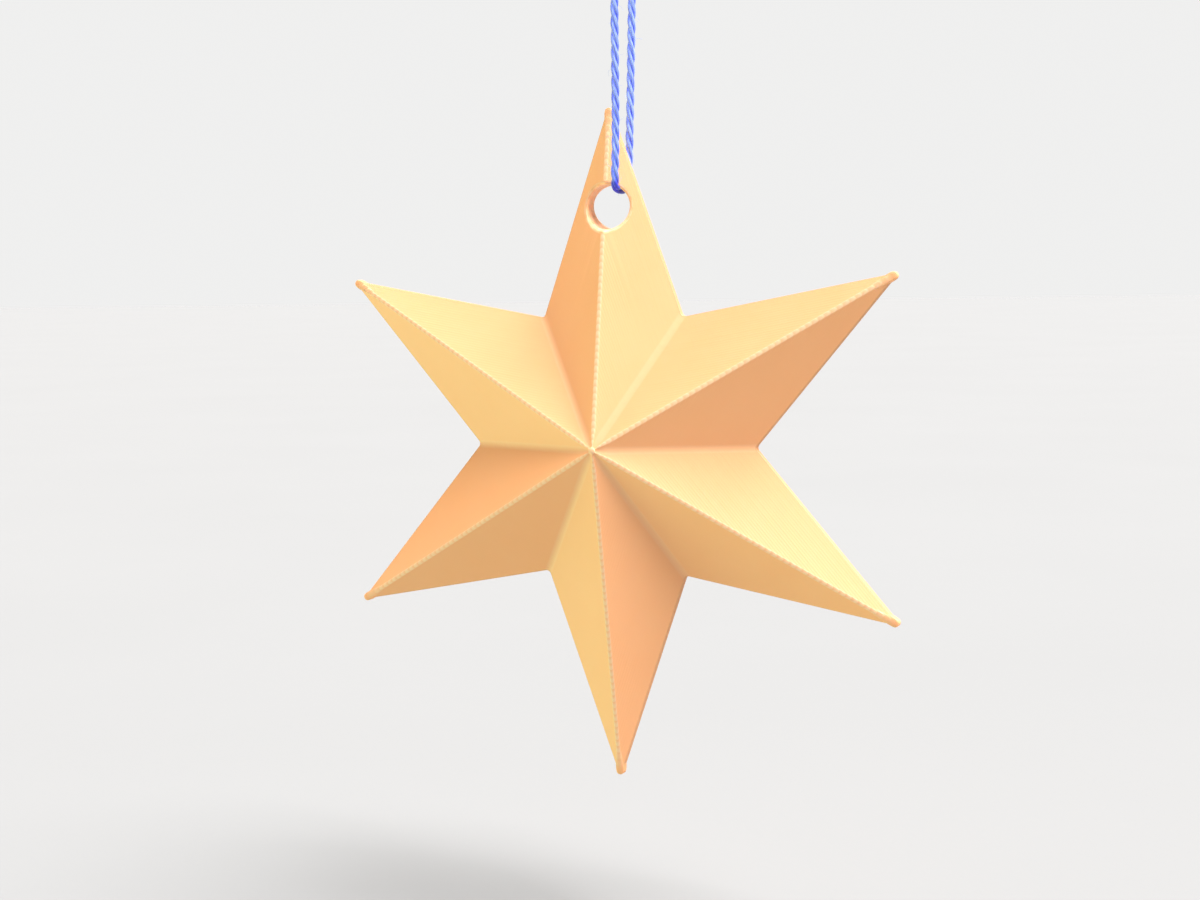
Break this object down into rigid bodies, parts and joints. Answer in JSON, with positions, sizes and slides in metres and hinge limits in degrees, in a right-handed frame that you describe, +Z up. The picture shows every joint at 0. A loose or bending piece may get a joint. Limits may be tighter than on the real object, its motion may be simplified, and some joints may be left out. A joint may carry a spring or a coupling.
{
  "type": "hanging star ornament",
  "caption": "Flat star ornament in matte plastic, ridged on both faces, hanging from a knotted loop of twine through a hole in its top arm.",
  "frame": {"origin": "inside top of the twine loop, where the ornament hangs", "axes": "+Z up along the star's top arm, -Y out of the star's front face, +X to the right seen from the front"},
  "size_m": [0.1002, 0.0212, 0.1549],
  "materials": {
    "printed_plastic": "matte, in fine printed layers",
    "twine": "twisted, slightly hairy"
  },
  "bodies": {
    "root": {"star": "printed_plastic", "hanging_twine": "twine", "twine_knot": "twine"}
  },
  "joints": []
}
